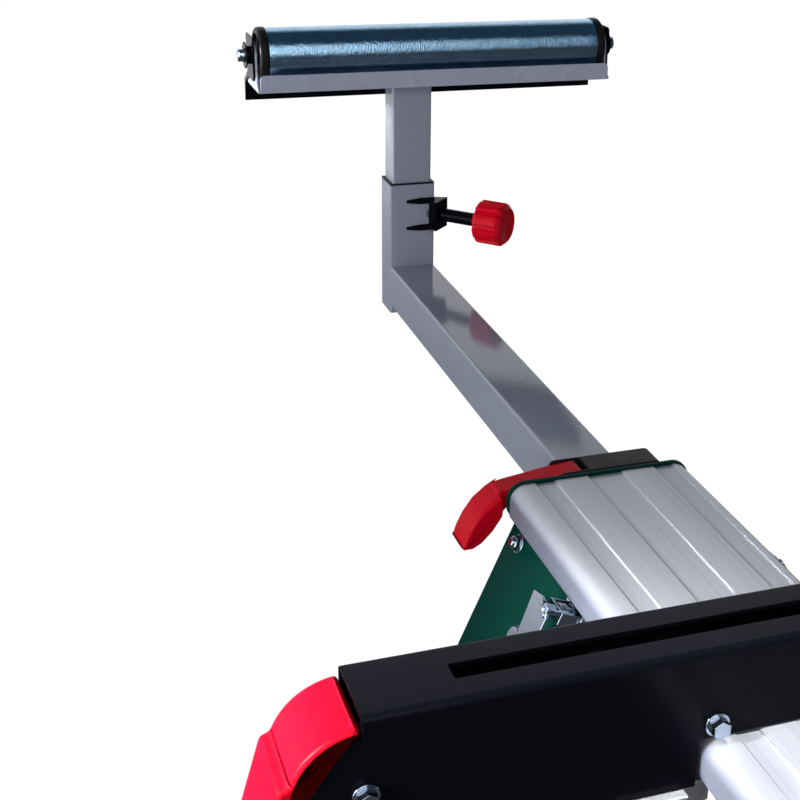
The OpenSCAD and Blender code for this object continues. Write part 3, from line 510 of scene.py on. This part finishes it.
def latchSprings():
    cloud = cloudOf("latch_springs")
    radius, wire, long = (springSet[k] * mm for k in ("radius", "wire", "long"))
    # centre line: radius * (side cos a + up sin a) + climb * axis;
    # the wire is a ring round it that closes at both ends
    t = np.linspace(0, 1, springSet["turns"] * springSet["steps"] + 1)
    a = 2 * math.pi * springSet["turns"] * t
    b = np.linspace(0, 2 * math.pi, springSet["around"], endpoint=False)
    taper = np.clip(np.minimum(t, 1 - t) * 400, 0.02, 1)[:, None]
    out = radius + wire / 2 * np.cos(b) * taper
    rise = (t - 0.5)[:, None] * (long - wire) + wire / 2 * np.sin(b) * taper
    made = []
    for name, sx, sy in (("lf", -1, -1), ("lr", -1, 1), ("rf", 1, -1), ("rr", 1, 1)):
        group = cloud[(np.sign(cloud[:, 0]) == sx) & (np.sign(cloud[:, 1]) == sy)]
        axis, side, up = frameOf(axisOf["latch_" + name + "_pull"])
        centre = (group.max(0) + group.min(0)) / 2
        spoke = side * np.cos(a)[:, None] + up * np.sin(a)[:, None]
        points = centre + out[..., None] * spoke[:, None, :] + rise[..., None] * axis
        made.append(gridPiece("spring", points))
    springs = joinPieces("latch_spring_coils", made)
    settle(springs, bodyOf["latch_springs"], "zinc", "latch_springs")


for end, sign in ends:
    rollerTube(end)
    rollerCaps(end)
    knobGrip(end, sign)
latchSprings()
print("turned pieces made")

# Edge widths in millimetres for the pieces that keep the shape of their node.
edgeSet = {"beam": 0.25, "end_bracket": 0.35, "clamp_block": 1.1, "end_fixings": 0.3, "leg_bolts": 0.5,
           "leg_glides": 0.4, "latch_straps": 0.35, "arm": 0.25, "sleeve": 0.3, "screw_yoke": 0.7,
           "arm_liners": 0.3, "post": 0.25, "roller_trough": 0.4, "axle": 0.25, "end_stop": 0.35,
           "clamp_screw": 0.4, "leg": 0.35, "foot": 1.0, "latch": 0.4, "mount_rail": 0.3, "mount_pads": 0.8,
           "rear_jaw": 1.2, "mount_bolts": 0.5, "front_jaw": 1.2}
# Broad chamfers of the two red levers: full on the grip, slight on the bar.
gripSet = {"lever": 3.0, "leverBar": 0.15, "leverFrom": 62, "handle": 2.6}


def leverShare(middle):
    # share rises from the bar's value to 1 where the grip begins, counted from the hub towards the operator
    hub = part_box("arm_lever_l")[1][1]
    away = (hub - middle[:, 1]) / mm
    rise = np.clip((away - gripSet["leverFrom"]) / 8, 0, 1)
    return gripSet["leverBar"] + (1 - gripSet["leverBar"]) * rise


for end, sign in ends:
    softCopy("arm_lever_" + end, gripSet["lever"], 30, 2, leverShare)
    softCopy("mount_handle_" + end, gripSet["handle"], 30, 3)

done = {"arm_lever", "mount_handle", "roller", "roller_caps", "knob", "latch_springs"}
for node in sorted(nodes):
    family = node
    for ending in ("_l", "_r", "_lf", "_lr", "_rf", "_rr"):
        if node.endswith(ending):
            family = node[:-len(ending)]
    if family not in done:
        softCopy(node, edgeSet[family])
print("edges rounded")


# Light

# Each softbox: where it stands and what it is aimed at, its width and height in metres, the brightness a
# mirror would show (1 is white), and the spread of its grid in degrees.
lightSet = {
    "operator side": {"place": (-0.2, -3.2, 1.2), "aim": (-0.5, 0, 0.75), "size": (4.2, 2.2), "level": 3.9},
    "left end": {"place": (-1.9, -1.9, 1.15), "aim": (-1.13, -0.02, 1.05), "size": (0.3, 0.15), "level": 6.0,
                 "spread": 11},
    "right side": {"place": (3.0, -0.7, 2.85), "aim": (-1.0, 0, 0.95), "size": (3.4, 3.2), "level": 2.0},
    "near top": {"place": (-0.1, 0.05, 2.3), "aim": (-0.25, -0.03, 0.8), "size": (0.06, 0.3), "level": 9.0,
                 "spread": 12},
    "handle": {"place": (-0.3, -1.5, 1.5), "aim": (-0.38, -0.31, 0.84), "size": (0.2, 0.2), "level": 9.5,
               "spread": 12},
}


def softbox(name, place, aim, size, level, spread=180):
    lamp = bpy.data.lights.new(name, "AREA")
    lamp.shape = "RECTANGLE"
    lamp.size, lamp.size_y = size
    lamp.energy = level * math.pi * size[0] * size[1]
    lamp.spread = math.radians(spread)
    box = bpy.data.objects.new(name, lamp)
    bpy.context.scene.collection.objects.link(box)
    away, side, up = frameOf(np.array(place, float) - np.array(aim, float))
    turn = np.eye(4)
    turn[:3, 0], turn[:3, 1], turn[:3, 2], turn[:3, 3] = -side, -up, away, place
    if np.linalg.det(turn[:3, :3]) < 0:
        turn[:3, 0] *= -1
    box.matrix_world = Matrix(turn.tolist())


for name, given in lightSet.items():
    softbox(name + " softbox", **given)


# To metal and gloss the world is white towards -X, up to a slope, and dark blue overhead and towards +X;
# fill is what it gives to matt surfaces.
worldSet = {"slope": 0.62, "edge": 0.22, "overhead": (0.03, 0.05, 0.07, 1), "fill": (0.17, 0.18, 0.22, 1)}


def makeWorld():
    world = bpy.data.worlds.new("studio")
    bpy.context.scene.world = world
    world.use_nodes = True
    tree = world.node_tree
    tree.nodes.clear()

    def add(kind, *sources, **values):
        # a node with its settings, its first inputs joined to the sources
        made = tree.nodes.new("ShaderNode" + kind)
        for name, value in values.items():
            setattr(made, name, value)
        for source, target in zip(sources, made.inputs):
            tree.links.new(source, target)
        return made

    def blend(factor, colour0, colour1):
        made = add("Mix", factor, data_type="RGBA")
        for socket, colour in ((made.inputs[6], colour0), (made.inputs[7], colour1)):
            if isinstance(colour, tuple):
                socket.default_value = colour
            else:
                tree.links.new(colour, socket)
        return made.outputs[2]

    split = add("SeparateXYZ", add("TexCoord").outputs["Generated"])
    minus = add("Math", split.outputs[0], operation="MULTIPLY")
    minus.inputs[1].default_value = -1.0
    behind = add("Math", split.outputs[2], operation="MULTIPLY_ADD")
    behind.inputs[1].default_value = -worldSet["slope"]
    tree.links.new(minus.outputs[0], behind.inputs[2])
    ramp = add("MapRange", behind.outputs[0], interpolation_type="SMOOTHSTEP")
    ramp.inputs["From Min"].default_value = 0.0
    ramp.inputs["From Max"].default_value = worldSet["edge"]
    white = (1, 1, 1, 1)
    path = add("LightPath").outputs
    mirror = add("Math", path["Is Glossy Ray"], path["Is Transmission Ray"], operation="MAXIMUM")
    gloss = blend(ramp.outputs[0], worldSet["overhead"], white)
    lit = blend(mirror.outputs[0], worldSet["fill"], gloss)
    background = add("Background", blend(path["Is Camera Ray"], lit, white))
    add("OutputWorld", background.outputs[0])


# The floor reads white to the camera and still takes a little of the object's shadow. To gloss and metal
# it is dark towards +X and as white as the backdrop far towards -X, from one distance to the other.
floorSet = {"size": 40, "glow": 1.06, "share": 0.95, "dark": 0.06, "from": -2.6, "to": -6.0}


def makeFloor():
    corner = floorSet["size"] / 2
    mesh = bpy.data.meshes.new("floor")
    mesh.from_pydata([(-corner, -corner, 0), (corner, -corner, 0), (corner, corner, 0), (-corner, corner, 0)],
                     [], [(0, 1, 2, 3)])
    floor = bpy.data.objects.new("floor", mesh)
    bpy.context.scene.collection.objects.link(floor)
    pale = Finish("pale floor", (0.8, 0.8, 0.8, 1), 0.9)
    path = pale.node("LightPath").outputs
    split = pale.node("SeparateXYZ")
    pale.join(pale.objectPlace(), split.inputs[0])
    far = pale.remap(split.outputs[0], floorSet["from"], floorSet["to"], floorSet["dark"], 1.0)
    glow = pale.node("Emission")
    seen = pale.blendColour(path["Is Camera Ray"], far, (floorSet["glow"],) * 3 + (1,))
    pale.join(seen, glow.inputs["Color"])
    either = pale.node("Math", operation="MAXIMUM")
    pale.join(path["Is Camera Ray"], either.inputs[0])
    pale.join(path["Is Glossy Ray"], either.inputs[1])
    share = pale.node("Math", operation="MULTIPLY")
    share.inputs[1].default_value = floorSet["share"]
    pale.join(either.outputs[0], share.inputs[0])
    mix = pale.node("MixShader")
    pale.join(share.outputs[0], mix.inputs["Fac"])
    pale.join(pale.shader.outputs[0], mix.inputs[1])
    pale.join(glow.outputs[0], mix.inputs[2])
    pale.join(mix.outputs[0], pale.tree.nodes["Material Output"].inputs["Surface"])
    floor.data.materials.append(pale.material)


makeWorld()
makeFloor()
bpy.context.scene.view_settings.view_transform = "Standard"
print("light set")
